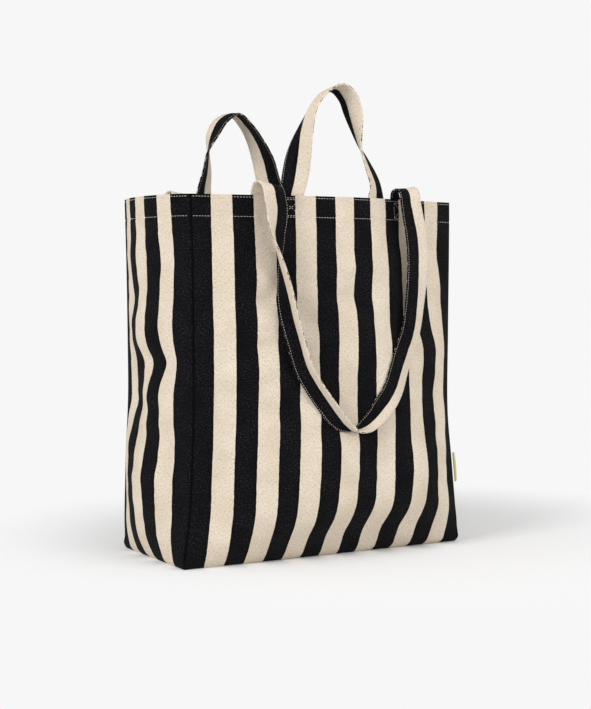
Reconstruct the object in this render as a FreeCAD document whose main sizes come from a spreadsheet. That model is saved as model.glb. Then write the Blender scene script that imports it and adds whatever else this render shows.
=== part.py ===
import FreeCAD, Part
import math
import os

import Sketcher

# A striped canvas tote bag: two wide walls, two side gussets that crease inwards,
# a flat base, two short handles and two shoulder straps. Millimetres, +Z up.
# The origin is the middle of the base, on the surface that the bag stands on.
# The front wall faces -Y. The front and back walls bow outwards from corner to corner,
# as a full bag's do, and the gussets are flat, at the bag's full open size.

os.makedirs("parts", exist_ok=True)
doc = FreeCAD.newDocument("tote_bag")

# ---------------------------------------------------------------- driving sizes
SIZES = {
    "stripe": 25,             # width of one printed stripe; the cloth is cut in whole stripes
    "wall_stripes": 15,       # stripes across the front and the back
    "gusset_stripes": 7,      # stripes across each side gusset
    "body_height": 410,
    "wall_bow": 28,           # how far a wall's middle stands out from its corners
    "corner_pull": 3,         # each corner comes in this far because the wall is bowed
    "canvas": 1,              # one layer of cloth
    "hem_layers": 1.6,        # the turned-in layers behind the top edge
    "hem_depth": 25,
    "hem_corner_gap": 4,      # the turned-in layers stop short of a corner
    "gap": 0.3,               # running clearance between bodies
    "wall_foot": 2.5,         # foot of each wall that moves over the base
    "seam_width": 10,         # sewn edge inside each corner
    "seam_layers": 1.2,
    "base_seam_layers": 1,
    "strap_width": 30,
    "strap_layers": 2.4,
    "handle_reach": 57,       # from the bag's middle to the middle of a handle's leg
    "handle_rise": 130,       # top of a handle above the hem
    "handle_root": 12,        # the flexible stretch of a handle above the hem
    "strap_reach": 90.5,
    "strap_drop": 270,        # bottom of a shoulder strap below the hem
    "strap_bend": 40,         # radius of the strap's bottom bend, at its middle line
    "strap_crest": 12,        # top of the strap's fold above the hem
    "strap_top": 3,           # top of the hanging strap above the hem
    "strap_stand_off": 3.5,   # from the wall's outermost face to the hanging strap's middle
    "tail_length": 24,
    "thread": 0.35,           # how far a thread stands proud
    "thread_width": 0.6,
    "top_row": 2.5,           # upper hem stitching below the edge
    "low_row": 23.8,          # lower hem stitching below the edge
    "row_end": 6,             # the rows stop this far from a crease or a corner
    "box_wide": 26,           # the crossed box stitch that holds a strap end
    "box_tall": 18,
    "box_drop": 4,            # top of a box stitch below the edge
    "edge_inset": 2.2,        # a strap's edge stitching from its edge
    "tag_tall": 34,
    "tag_reach": 12,
    "tag_layers": 1,
    "tag_foot": 74,
    "tag_stand_off": 0.7,
}

sheet = doc.addObject("Spreadsheet::Sheet", "Sizes")
for row, (alias, value) in enumerate(SIZES.items(), start=1):
    sheet.set(f"A{row}", alias)
    sheet.set(f"B{row}", str(value))
    sheet.setAlias(f"B{row}", alias)
doc.recompute()


def cell(alias):
    """The expression that reads one cell of the sheet."""
    return f"Sizes.{alias}"


# Distances from the bag's middle planes, as expressions.
HALF_WIDE = "(Sizes.stripe * Sizes.wall_stripes / 2 - Sizes.corner_pull)"
HALF_DEEP = "(Sizes.stripe * Sizes.gusset_stripes / 2)"
TOP = "Sizes.body_height"
HEM_FOOT = "(Sizes.body_height - Sizes.hem_depth)"
DEEP_INNER = f"({HALF_DEEP} - Sizes.canvas)"
DEEP_HEM = f"({HALF_DEEP} - Sizes.canvas - Sizes.hem_layers)"
WIDE_INNER = f"({HALF_WIDE} - Sizes.canvas)"
WIDE_HEM = f"({HALF_WIDE} - Sizes.canvas - Sizes.hem_layers)"

# A bowed wall is part of an upright cylinder. Its axis is on the far side of the bag.
BOW_RADIUS = f"(({HALF_WIDE}^2 + Sizes.wall_bow^2) / (2 * Sizes.wall_bow))"
BOW_CENTRE = f"({BOW_RADIUS} - {HALF_DEEP} - Sizes.wall_bow)"

# The layers of a wall, as depths below its outer face.
HEM_BACK = "(Sizes.canvas + Sizes.hem_layers)"
PANEL_LAYER = ("0", "Sizes.canvas")
HEM_LAYER = ("Sizes.canvas", HEM_BACK)
SEAM_LAYER = ("Sizes.canvas", "Sizes.canvas + Sizes.seam_layers")
TAIL_LAYER = (HEM_BACK, f"{HEM_BACK} + Sizes.strap_layers")
THREAD_LAYER = ("-Sizes.thread", "0")

FRONT, BACK = -1, 1
LEFT, RIGHT = -1, 1
SIDE_NAMES = {FRONT: "front", BACK: "back"}
HAND_NAMES = {LEFT: "left", RIGHT: "right"}


def value(expression):
    """The number that an expression of the sheet's cells comes to."""
    return float(sheet.evalExpression(expression))


def span(sign, near, far):
    """A stretch from near to far, on the side of the middle plane that sign says."""
    if sign > 0:
        return (near, far)
    return (f"-({far})", f"-({near})")


# ---------------------------------------------------------------- makers
def cloth_box(label, across, along, up):
    """A flat piece of cloth as a box; each argument is its low and high expression."""
    box = doc.addObject("Part::Box", label)
    box.Label = label
    sides = (("Length", "x", across), ("Width", "y", along), ("Height", "z", up))
    for side, axis, (low, high) in sides:
        box.setExpression(side, f"({high}) - ({low})")
        box.setExpression(f"Placement.Base.{axis}", low)
    return box


def disc(label, side, inset, up):
    """A round block that is as curved as a wall, and smaller by inset."""
    block = doc.addObject("Part::Cylinder", label)
    block.setExpression("Radius", f"{BOW_RADIUS} - ({inset})")
    block.setExpression("Height", f"({up[1]}) - ({up[0]})")
    block.setExpression("Placement.Base.y", f"{-side} * {BOW_CENTRE}")
    block.setExpression("Placement.Base.z", up[0])
    return block


def bowed_piece(label, side, across, layer, up):
    """A piece of cloth in one layer of a bowed wall."""
    shell = doc.addObject("Part::Cut", f"{label}_shell")
    shell.Base = disc(f"{label}_outer", side, layer[0], up)
    shell.Tool = disc(f"{label}_inner", side, layer[1], up)
    reach = span(side, "0", f"{HALF_DEEP} + 2 * Sizes.wall_bow")
    piece = doc.addObject("Part::Common", label)
    piece.Label = label
    piece.Base = cloth_box(f"{label}_slab", across, reach, up)
    piece.Tool = shell
    return piece


def wall_face(reach):
    """How far a wall's outer face is from the middle plane, at reach from the wall's middle."""
    return f"(sqrt({BOW_RADIUS}^2 - ({reach})^2) - {BOW_CENTRE})"


def group(label, members):
    """Several separate solids that are one kind of piece."""
    compound = doc.addObject("Part::Compound", label)
    compound.Label = label
    compound.Links = members
    return compound


def pair(label, maker):
    """The left and the right solid of one piece, made by maker(label, hand)."""
    return group(label, [maker(f"{label}_{HAND_NAMES[hand]}", hand) for hand in (LEFT, RIGHT)])


def plane_of(body, role):
    """One of a body's own origin planes."""
    return next(item for item in body.Origin.OriginFeatures if item.Role == role)


def band_body(label, role, offset, thickness, draw):
    """A body padded evenly about a plane that is offset along the role plane's normal."""
    body = doc.addObject("PartDesign::Body", label)
    body.Label = label
    sketch = body.newObject("Sketcher::SketchObject", f"{label}_outline")
    sketch.AttachmentSupport = [(plane_of(body, role), "")]
    sketch.MapMode = "FlatFace"
    sketch.setExpression("AttachmentOffset.Base.z", offset)
    draw(sketch)
    doc.recompute()
    pad = body.newObject("PartDesign::Pad", f"{label}_pad")
    pad.Profile = sketch
    pad.Midplane = True
    pad.setExpression("Length", thickness)
    body.Tip = pad
    return body


def bind(sketch, constraint, expression):
    """Adds a constraint with a length and ties that length to the sheet."""
    index = sketch.addConstraint(constraint)
    sketch.setExpression(f"Constraints[{index}]", expression)


def flat(x, y):
    return FreeCAD.Vector(x, y, 0)


def arc(radius, centre_y, start, end):
    """An arc about a centre on the sketch's vertical axis; angles in radians."""
    circle = Part.Circle(flat(0, centre_y), FreeCAD.Vector(0, 0, 1), radius)
    return Part.ArcOfCircle(circle, start, end)


def draw_loop(sketch, bend, tops, inner, outer, upwards):
    """A U-shaped band: two straight legs and a round bend.

    bend: height of the bend's centre. tops: height of the legs' ends.
    inner, outer: (radius of the bend, half distance between the legs' ends).
    upwards: True where the bend is above the ends, as on a handle.
    """
    bend_y, ends_y = value(bend), value(tops)
    rim = []
    for radius_text, reach_text in (inner, outer):
        radius, reach = value(radius_text), value(reach_text)
        rise = abs(ends_y - bend_y)
        slant = math.atan2(reach, rise) - math.asin(min(1, radius / math.hypot(reach, rise)))
        turn = -slant if upwards else slant
        touch_x = radius * math.cos(turn)
        touch_y = bend_y - radius * math.sin(turn)
        if upwards:
            curve = arc(radius, bend_y, -turn, math.pi + turn)
        else:
            curve = arc(radius, bend_y, math.pi + turn, 2 * math.pi - turn)
        rim.append(
            (
                sketch.addGeometry(curve),
                sketch.addGeometry(Part.LineSegment(flat(-touch_x, touch_y), flat(-reach, ends_y))),
                sketch.addGeometry(Part.LineSegment(flat(touch_x, touch_y), flat(reach, ends_y))),
            )
        )
    left_point, right_point = (2, 1) if upwards else (1, 2)
    for curve, left_leg, right_leg in rim:
        sketch.addConstraint(Sketcher.Constraint("PointOnObject", curve, 3, -2))
        sketch.addConstraint(Sketcher.Constraint("Tangent", left_leg, 1, curve, left_point))
        sketch.addConstraint(Sketcher.Constraint("Tangent", right_leg, 1, curve, right_point))
    for (curve, left_leg, right_leg), (radius_text, reach_text) in zip(rim, (inner, outer)):
        bind(sketch, Sketcher.Constraint("Radius", curve, value(radius_text)), radius_text)
        bind(sketch, Sketcher.Constraint("DistanceY", -1, 1, curve, 3, bend_y), bend)
        for leg, sign in ((left_leg, -1), (right_leg, 1)):
            reach = f"{'-' if sign < 0 else ''}({reach_text})"
            bind(sketch, Sketcher.Constraint("DistanceX", -1, 1, leg, 2, value(reach)), reach)
            bind(sketch, Sketcher.Constraint("DistanceY", -1, 1, leg, 2, ends_y), tops)
    for place in (1, 2):
        ends = (rim[0][place], rim[1][place])
        closing = Part.LineSegment(
            sketch.Geometry[ends[0]].EndPoint, sketch.Geometry[ends[1]].EndPoint
        )
        line = sketch.addGeometry(closing)
        sketch.addConstraint(Sketcher.Constraint("Coincident", line, 1, ends[0], 2))
        sketch.addConstraint(Sketcher.Constraint("Coincident", line, 2, ends[1], 2))


# ---------------------------------------------------------------- base and walls
def base_panel():
    """The base, as wide as the bag and bowed along the walls."""
    up = ("0", cell("canvas"))
    deep = f"{HALF_DEEP} + 2 * Sizes.wall_bow"
    slab = cloth_box("base_slab", (f"-({HALF_WIDE})", HALF_WIDE), (f"-({deep})", deep), up)
    discs = [disc(f"base_{SIDE_NAMES[side]}_edge", side, "0", up) for side in (FRONT, BACK)]
    base = doc.addObject("Part::MultiCommon", "base_panel")
    base.Label = "base_panel"
    base.Shapes = [slab, *discs]
    return base


def base_seam(hand):
    """The sewn edge between the base and one gusset, lying inside the bag."""
    end = f"{DEEP_INNER} - Sizes.seam_layers - Sizes.gap"
    return cloth_box(
        f"base_{HAND_NAMES[hand]}_seam",
        span(hand, f"{HALF_WIDE} - Sizes.seam_width", HALF_WIDE),
        (f"-({end})", end),
        (cell("canvas"), "Sizes.canvas + Sizes.base_seam_layers"),
    )


def wall_foot(side):
    """The front wall is sewn to the base; the back wall moves over it."""
    return cell("canvas") if side == FRONT else cell("wall_foot")


def wall_panel(side):
    return bowed_piece(
        f"{SIDE_NAMES[side]}_panel",
        side,
        (f"-({HALF_WIDE})", HALF_WIDE),
        PANEL_LAYER,
        (wall_foot(side), TOP),
    )


def wall_hem(side):
    end = f"{WIDE_INNER} - Sizes.gap"
    return bowed_piece(
        f"{SIDE_NAMES[side]}_hem", side, (f"-({end})", end), HEM_LAYER, (HEM_FOOT, TOP)
    )


def corner_seam(side, hand):
    """The sewn edge inside one upright corner, flat against the wall."""
    edge = f"{WIDE_INNER} - Sizes.gap"
    return bowed_piece(
        f"{SIDE_NAMES[side]}_{HAND_NAMES[hand]}_seam",
        side,
        span(hand, f"{edge} - Sizes.seam_width", edge),
        SEAM_LAYER,
        (wall_foot(side), HEM_FOOT),
    )


def gusset_panel(hand, side):
    """Half of one gusset, from a wall's corner to the crease down the middle."""
    return cloth_box(
        f"{HAND_NAMES[hand]}_gusset_{SIDE_NAMES[side]}",
        span(hand, WIDE_INNER, HALF_WIDE),
        span(side, "Sizes.gap / 2", f"{DEEP_INNER} - Sizes.gap"),
        (cell("wall_foot"), TOP),
    )


def gusset_hem(hand, side):
    return cloth_box(
        f"{HAND_NAMES[hand]}_gusset_{SIDE_NAMES[side]}_hem",
        span(hand, WIDE_HEM, WIDE_INNER),
        span(side, "Sizes.gap / 2", f"{DEEP_HEM} - Sizes.hem_corner_gap"),
        (HEM_FOOT, TOP),
    )


# ---------------------------------------------------------------- stitching
def row_height(row):
    """The low and high expression of one hem stitching row."""
    return (f"{TOP} - Sizes.{row} - Sizes.thread_width", f"{TOP} - Sizes.{row}")


def wall_stitching(side):
    """Two rows along the hem and a short row down each corner."""
    name = f"{SIDE_NAMES[side]}_hem_stitching"
    end = f"{HALF_WIDE} - Sizes.row_end"
    rows = [
        bowed_piece(f"{name}_{row}", side, (f"-({end})", end), THREAD_LAYER, row_height(row))
        for row in ("top_row", "low_row")
    ]
    for hand in (LEFT, RIGHT):
        corner = span(hand, f"{HALF_WIDE} - Sizes.thread_width - 1", f"{HALF_WIDE} - 1")
        upright = (HEM_FOOT, f"{TOP} - Sizes.top_row")
        label = f"{name}_{HAND_NAMES[hand]}_corner"
        rows.append(bowed_piece(label, side, corner, THREAD_LAYER, upright))
    return group(name, rows)


def gusset_stitching(hand, side):
    face = span(hand, HALF_WIDE, f"{HALF_WIDE} + Sizes.thread")
    along = span(side, cell("row_end"), f"{HALF_DEEP} - Sizes.row_end")
    name = f"{HAND_NAMES[hand]}_gusset_{SIDE_NAMES[side]}_stitching"
    rows = [
        cloth_box(f"{name}_{row}", face, along, row_height(row)) for row in ("top_row", "low_row")
    ]
    return group(name, rows)


def box_stitch(label, side, reach, hand):
    """A crossed box of thread on the outer face, over one sewn strap end."""
    wide, tall, line, proud = (
        value(cell(alias)) for alias in ("box_wide", "box_tall", "thread_width", "thread")
    )
    centre = hand * value(cell(reach))
    low = value(f"{TOP} - Sizes.box_drop - Sizes.box_tall")
    deep = value(f"{HALF_DEEP} + Sizes.wall_bow") + proud
    near = 0 if side == BACK else -deep
    corner = FreeCAD.Vector(centre - wide / 2, near, low)
    window = FreeCAD.Vector(corner.x + line, near, low + line)
    pattern = Part.makeBox(wide, deep, tall, corner)
    pattern = pattern.cut(Part.makeBox(wide - 2 * line, deep, tall - 2 * line, window))
    lean = math.degrees(math.atan2(tall - line, wide - line))
    length = math.hypot(wide - line, tall - line)
    middle = FreeCAD.Vector(centre, near, low + tall / 2)
    for turn in (lean, -lean):
        bar = Part.makeBox(length, deep, line)
        bar.translate(FreeCAD.Vector(-length / 2, 0, -line / 2))
        bar.rotate(FreeCAD.Vector(0, 0, 0), FreeCAD.Vector(0, 1, 0), turn)
        bar.translate(middle)
        pattern = pattern.fuse(bar)
    radius = value(BOW_RADIUS)
    axis_foot = FreeCAD.Vector(0, -side * value(BOW_CENTRE), low)
    thread = Part.makeCylinder(radius + proud, tall, axis_foot)
    thread = thread.cut(Part.makeCylinder(radius, tall, axis_foot))
    stitch = doc.addObject("Part::Feature", label)
    stitch.Label = label
    stitch.Shape = pattern.removeSplitter().common(thread)
    return stitch


def box_stitching(side):
    """One crossed box over each of the four strap ends on a wall."""
    name = f"{SIDE_NAMES[side]}_box_stitching"
    members = [
        box_stitch(f"{name}_{reach}_{HAND_NAMES[hand]}", side, reach, hand)
        for reach in ("handle_reach", "strap_reach")
        for hand in (LEFT, RIGHT)
    ]
    return group(name, members)


# ---------------------------------------------------------------- handles and straps
def leg_span(reach, hand):
    centre = f"Sizes.{reach}"
    return span(hand, f"{centre} - Sizes.strap_width / 2", f"{centre} + Sizes.strap_width / 2")


def tails(side, kind):
    """The two ends of a handle or strap, sewn flat inside the hem."""
    return pair(
        f"{SIDE_NAMES[side]}_{kind}_tails",
        lambda label, hand: bowed_piece(
            label,
            side,
            leg_span(f"{kind}_reach", hand),
            TAIL_LAYER,
            (f"{TOP} - Sizes.tail_length", TOP),
        ),
    )


def handle_roots(side):
    """The short flexible stretch where each leg of a handle leaves the hem."""
    return pair(
        f"{SIDE_NAMES[side]}_handle_roots",
        lambda label, hand: bowed_piece(
            label,
            side,
            leg_span("handle_reach", hand),
            TAIL_LAYER,
            (TOP, f"{TOP} + Sizes.handle_root"),
        ),
    )


def tail_middle(kind):
    """How far the middle of a sewn tail's thickness is from the middle plane."""
    return f"({wall_face(f'Sizes.{kind}_reach')} - {HEM_BACK} - Sizes.strap_layers / 2)"


STRAP_FACE = f"({HALF_DEEP} + Sizes.wall_bow + Sizes.strap_stand_off)"


def ring_half(label, radius, height, start_x, centre_y, centre_z):
    """The upper half of a round bar that lies along X."""
    bar = doc.addObject("Part::Cylinder", label)
    bar.Angle = 180
    bar.setExpression("Radius", radius)
    bar.setExpression("Height", height)
    bar.Placement.Rotation = FreeCAD.Rotation(FreeCAD.Vector(1, 1, 1), 120)
    for axis, place in (("x", start_x), ("y", centre_y), ("z", centre_z)):
        bar.setExpression(f"Placement.Base.{axis}", place)
    return bar


def strap_fold(label, side, hand):
    """One end of a shoulder strap: up from the tail, over the hem and down outside."""
    tail = tail_middle("strap")
    bend = f"(({STRAP_FACE} - {tail}) / 2)"
    half = "Sizes.strap_layers / 2"
    crest = f"({TOP} + Sizes.strap_crest - {half} - {bend})"
    centre = f"{side} * ({STRAP_FACE} + {tail}) / 2"
    low_x, high_x = leg_span("strap_reach", hand)
    rounds = [
        ring_half(f"{label}_{name}", radius, cell("strap_width"), low_x, centre, crest)
        for name, radius in (("outer", f"{bend} + {half}"), ("inner", f"{bend} - {half}"))
    ]
    arch = doc.addObject("Part::Cut", f"{label}_arch")
    arch.Base, arch.Tool = rounds
    legs = []
    for name, middle, foot in (
        ("inside", tail, TOP),
        ("outside", STRAP_FACE, f"{TOP} + Sizes.strap_top"),
    ):
        layers = span(side, f"{middle} - {half}", f"{middle} + {half}")
        legs.append(cloth_box(f"{label}_{name}", (low_x, high_x), layers, (foot, crest)))
    fold = doc.addObject("Part::MultiFuse", label)
    fold.Label = label
    fold.Shapes = [arch, *legs]
    return fold


def strap_roots(side):
    """The flexible stretch where each end of a strap folds over the hem."""
    return pair(
        f"{SIDE_NAMES[side]}_strap_roots",
        lambda label, hand: strap_fold(label, side, hand),
    )


HALF_STRAP = "Sizes.strap_width / 2"
HANDLE_BEND = f"{TOP} + Sizes.handle_rise - Sizes.handle_reach - {HALF_STRAP}"
HANDLE_ENDS = f"{TOP} + Sizes.handle_root"
STRAP_BEND = f"{TOP} - Sizes.strap_drop + Sizes.strap_bend + {HALF_STRAP}"
STRAP_ENDS = f"{TOP} + Sizes.strap_top"


def loop_band(label, side, face, thickness, edges, ends):
    """A loop's flat band; edges are (radius, reach) of its inner and outer outline."""
    bend, tops, upwards = ends
    # The XZ plane's normal is -Y, so a positive offset is towards the front.
    return band_body(
        label,
        "XZ_Plane",
        f"{-side} * ({face})",
        thickness,
        lambda sketch: draw_loop(sketch, bend, tops, edges[0], edges[1], upwards),
    )


def handle_edges(inset_inner, inset_outer):
    """The outlines of a strip of the handle, measured in from its outer edge."""
    reaches = (
        f"Sizes.handle_reach + {HALF_STRAP} - ({inset})" for inset in (inset_inner, inset_outer)
    )
    return [(reach, reach) for reach in reaches]


def strap_edges(inset_inner, inset_outer):
    """The outlines of a strip of the strap, measured out from its inner edge."""
    return [
        (
            f"Sizes.strap_bend - {HALF_STRAP} + {inset}",
            f"Sizes.strap_reach - {HALF_STRAP} + {inset}",
        )
        for inset in (inset_inner, inset_outer)
    ]


def handle_loop(side):
    return loop_band(
        f"{SIDE_NAMES[side]}_handle",
        side,
        tail_middle("handle"),
        cell("strap_layers"),
        handle_edges("Sizes.strap_width", "0"),
        (HANDLE_BEND, HANDLE_ENDS, True),
    )


def handle_stitching(side):
    """The row of thread along the handle's outer edge, on its outer face."""
    return loop_band(
        f"{SIDE_NAMES[side]}_handle_stitching",
        side,
        f"{tail_middle('handle')} + Sizes.strap_layers / 2 + Sizes.thread / 2",
        cell("thread"),
        handle_edges("Sizes.edge_inset + Sizes.thread_width", "Sizes.edge_inset"),
        (HANDLE_BEND, HANDLE_ENDS, True),
    )


def strap_loop(side):
    return loop_band(
        f"{SIDE_NAMES[side]}_shoulder_strap",
        side,
        STRAP_FACE,
        cell("strap_layers"),
        strap_edges("0", "Sizes.strap_width"),
        (STRAP_BEND, STRAP_ENDS, False),
    )


def strap_stitching(side):
    """The row of thread along the strap's inner edge, on its outer face."""
    return loop_band(
        f"{SIDE_NAMES[side]}_strap_stitching",
        side,
        f"{STRAP_FACE} + Sizes.strap_layers / 2 + Sizes.thread / 2",
        cell("thread"),
        strap_edges("Sizes.edge_inset", "Sizes.edge_inset + Sizes.thread_width"),
        (STRAP_BEND, STRAP_ENDS, False),
    )


# ---------------------------------------------------------------- side tag
def side_tag():
    """A plain woven tag, caught in the front right corner and folded back."""
    height = ("Sizes.tag_foot", "Sizes.tag_foot + Sizes.tag_tall")
    far = f"{HALF_WIDE} + Sizes.tag_stand_off + Sizes.tag_layers"
    root = cloth_box(
        "side_tag_root", (HALF_WIDE, far), (f"-({HALF_DEEP})", f"-({DEEP_INNER})"), height
    )
    flap = cloth_box(
        "side_tag_flap",
        (f"{HALF_WIDE} + Sizes.tag_stand_off", far),
        (f"-({DEEP_INNER})", f"-({HALF_DEEP}) + Sizes.tag_reach"),
        height,
    )
    tag = doc.addObject("Part::Fuse", "side_tag")
    tag.Label = "side_tag"
    tag.Base, tag.Tool = root, flap
    return tag


# ---------------------------------------------------------------- the whole bag
pieces = [base_panel(), side_tag()]
for hand in (LEFT, RIGHT):
    pieces.append(base_seam(hand))
for side in (FRONT, BACK):
    pieces += [wall_panel(side), wall_hem(side), wall_stitching(side), box_stitching(side)]
    pieces += [tails(side, "handle"), tails(side, "strap")]
    pieces += [handle_roots(side), strap_roots(side)]
    pieces += [handle_loop(side), handle_stitching(side)]
    pieces += [strap_loop(side), strap_stitching(side)]
    for hand in (LEFT, RIGHT):
        pieces.append(corner_seam(side, hand))
        pieces += [gusset_panel(hand, side), gusset_hem(hand, side), gusset_stitching(hand, side)]
doc.recompute()

failed = [item.Name for item in doc.Objects if {"Invalid", "Error"} & set(item.State)]
if failed:
    raise RuntimeError(f"objects that did not build: {failed}")
for piece in pieces:
    shape = piece.Shape
    if shape.isNull() or not shape.isValid() or not shape.Solids:
        raise RuntimeError(f"{piece.Label} has no valid solid")
    shape.exportStep(f"parts/{piece.Label}.step")
    print(f"{piece.Label}: {len(shape.Solids)} solid(s), {shape.Volume:.1f} mm3")
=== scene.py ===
"""A striped canvas tote bag, open, with two short handles and two shoulder straps hanging outside."""

import math

import bpy
import numpy as np
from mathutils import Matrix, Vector, noise


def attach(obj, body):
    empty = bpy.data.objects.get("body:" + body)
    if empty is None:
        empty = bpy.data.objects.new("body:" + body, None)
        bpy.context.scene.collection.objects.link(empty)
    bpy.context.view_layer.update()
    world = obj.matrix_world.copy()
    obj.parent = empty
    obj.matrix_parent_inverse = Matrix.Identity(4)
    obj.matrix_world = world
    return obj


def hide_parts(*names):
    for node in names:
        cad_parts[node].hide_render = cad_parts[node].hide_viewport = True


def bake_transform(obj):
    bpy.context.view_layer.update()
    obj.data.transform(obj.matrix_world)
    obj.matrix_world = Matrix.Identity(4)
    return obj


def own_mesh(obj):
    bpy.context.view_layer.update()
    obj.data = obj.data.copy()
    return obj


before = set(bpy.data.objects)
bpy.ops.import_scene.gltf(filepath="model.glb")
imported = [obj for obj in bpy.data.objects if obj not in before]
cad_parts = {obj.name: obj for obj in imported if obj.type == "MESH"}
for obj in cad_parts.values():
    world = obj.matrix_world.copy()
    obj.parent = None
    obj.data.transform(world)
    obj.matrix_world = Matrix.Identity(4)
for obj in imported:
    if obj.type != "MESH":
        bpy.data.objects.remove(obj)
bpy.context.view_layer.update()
MM = 0.001

# ---------------------------------------------------------------- driving sizes, in millimetres
HEIGHT = 410.0
STRIPE = 25.0
WALL_CLOTH = 15 * STRIPE
GUSSET_CLOTH = 7 * STRIPE
CANVAS = 1.0
HEM_INNER = 2.6
HEM_DEPTH = 25.0
STRAP_WIDTH = 30.0
STRAP_HALF = STRAP_WIDTH / 2
STRAP_THICK = 2.4
STRAP_LEFT_X, STRAP_RIGHT_X = -93.0, 90.0
HANDLE_LEFT_X, HANDLE_RIGHT_X = -63.0, 51.0
SEAM_ALLOWANCE = 8.5
TOP_ROW = HEIGHT - 2.5
LOW_ROW = HEIGHT - 23.8
GRID_STEP = 2.0
FINE_STEPS, GUSSET_FINE_STEPS = 261, 181

# Signs of y for the two walls and of x for the two sides.
FRONT, BACK = -1.0, 1.0
LEFT, RIGHT = -1.0, 1.0
SIDE_NAME = {FRONT: "front", BACK: "back"}
HAND_NAME = {LEFT: "left", RIGHT: "right"}
WALL_BODY = {FRONT: "root", BACK: "back_wall"}


# ---------------------------------------------------------------- smooth curves and grids
def curve_through(knots, values, where):
    """A smooth curve through values at the knots, read at each place in where."""
    knots = np.asarray(knots, float)
    values = np.asarray(values, float)
    where = np.atleast_1d(np.asarray(where, float))
    slopes = np.gradient(values, knots, axis=0)
    left = np.clip(np.searchsorted(knots, where) - 1, 0, len(knots) - 2)
    gap = knots[left + 1] - knots[left]
    t = np.clip((where - knots[left]) / gap, 0, 1)
    if values.ndim > 1:
        gap, t = gap[:, None], t[:, None]
    a, b = values[left], values[left + 1]
    start, end = slopes[left] * gap, slopes[left + 1] * gap
    return (
        a * (2 * t**3 - 3 * t**2 + 1)
        + start * (t**3 - 2 * t**2 + t)
        + b * (3 * t**2 - 2 * t**3)
        + end * (t**3 - t**2)
    )


def distance_along(line):
    """How far along a line of points each of them lies."""
    return np.concatenate([[0], np.cumsum(np.linalg.norm(np.diff(line, axis=0), axis=1))])


def spot_on(line, run, at):
    """The value along a line of values at a distance, where run holds each one's distance."""
    return np.array([np.interp(at, run, line[:, k]) for k in range(3)])


def smooth_step(low, high, value):
    """0 below low, 1 above high, smooth between."""
    t = np.clip((value - low) / (high - low), 0, 1)
    return t * t * (3 - 2 * t)


def bell(distance, width):
    """1 at no distance, falling off smoothly over the width."""
    return np.exp(-((distance / width) ** 2))


def table_surface(rows, columns, table, row_places, column_places):
    """A smooth surface through a table, read on a grid of row and column places."""
    across = curve_through(columns, np.asarray(table, float).T, column_places)
    return curve_through(rows, across.T, row_places)


# The layers of a ripple: strength, spread across, length over which it leans, spread up, change of seed.
RIPPLE_LAYERS = [
    (1.5, 58, math.inf, 62, 0.0),
    (0.5, 44, 150, 19, 7.3),
    (0.13, 13, math.inf, 12, 19.1),
]


def ripple(x, z, seed):
    """Soft uneven creases of about unit height, the middle ones longer across than up."""
    return sum(
        strength * noise.noise(Vector((x / across + z / lean, z / up, seed + shift)))
        for strength, across, lean, up, shift in RIPPLE_LAYERS
    )


def grid_normals(points):
    """Unit normals of a grid of points: the way across its columns cross the way up its rows."""
    up = np.gradient(points, axis=0)
    across = np.gradient(points, axis=1)
    normals = np.cross(across, up)
    return normals / np.maximum(np.linalg.norm(normals, axis=2, keepdims=True), 1e-9)


class Patch:
    """A piece of cloth as a grid of points with outward normals, read by cloth place (u across, v up)."""

    def __init__(self, points, normals, width, heights):
        self.points, self.normals = points, normals
        self.columns = np.linspace(0, width, points.shape[1])
        self.heights = heights

    def read(self, u, v, values):
        """One of the patch's grids of values, read between its points."""
        j = np.clip(np.interp(u, self.columns, np.arange(len(self.columns))), 0, len(self.columns) - 1.001)
        i = np.clip(np.interp(v, self.heights, np.arange(len(self.heights))), 0, len(self.heights) - 1.001)
        i0, j0 = i.astype(int), j.astype(int)
        fi, fj = (i - i0)[..., None], (j - j0)[..., None]
        low = values[i0, j0] * (1 - fj) + values[i0, j0 + 1] * fj
        high = values[i0 + 1, j0] * (1 - fj) + values[i0 + 1, j0 + 1] * fj
        return low * (1 - fi) + high * fi

    def at(self, u, v, lift=0.0):
        """The points lift millimetres outside the cloth at the given places."""
        u, v = np.broadcast_arrays(np.asarray(u, float), np.asarray(v, float))
        return self.read(u, v, self.points) + self.read(u, v, self.normals) * lift


# ---------------------------------------------------------------- meshes
def mesh_object(name, points, faces, uv, materials, face_materials):
    """A smooth-shaded closed mesh in metres from points in millimetres, its faces turned outward."""
    points = np.asarray(points, float) * MM
    triangles = np.array([f[:3] for f in faces] + [(f[0], f[2], f[3]) for f in faces if len(f) == 4])
    a, b, c = (points[triangles[:, k]] for k in range(3))
    if np.einsum("ij,ij->i", a, np.cross(b, c)).sum() < 0:
        faces = [tuple(reversed(f)) for f in faces]
    mesh = bpy.data.meshes.new(name)
    mesh.from_pydata(points.tolist(), [], faces)
    layer = mesh.uv_layers.new(name="cloth")
    corners = np.zeros(len(mesh.loops), np.int32)
    mesh.loops.foreach_get("vertex_index", corners)
    layer.data.foreach_set("uv", (np.asarray(uv, float)[corners] * MM).astype(np.float32).ravel())
    for material in materials:
        mesh.materials.append(material)
    mesh.polygons.foreach_set("material_index", np.asarray(face_materials, np.int32))
    mesh.polygons.foreach_set("use_smooth", np.ones(len(faces), bool))
    mesh.set_sharp_from_angle(angle=math.radians(60))
    made = bpy.data.objects.new(name, mesh)
    bpy.context.scene.collection.objects.link(made)
    return made


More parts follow.
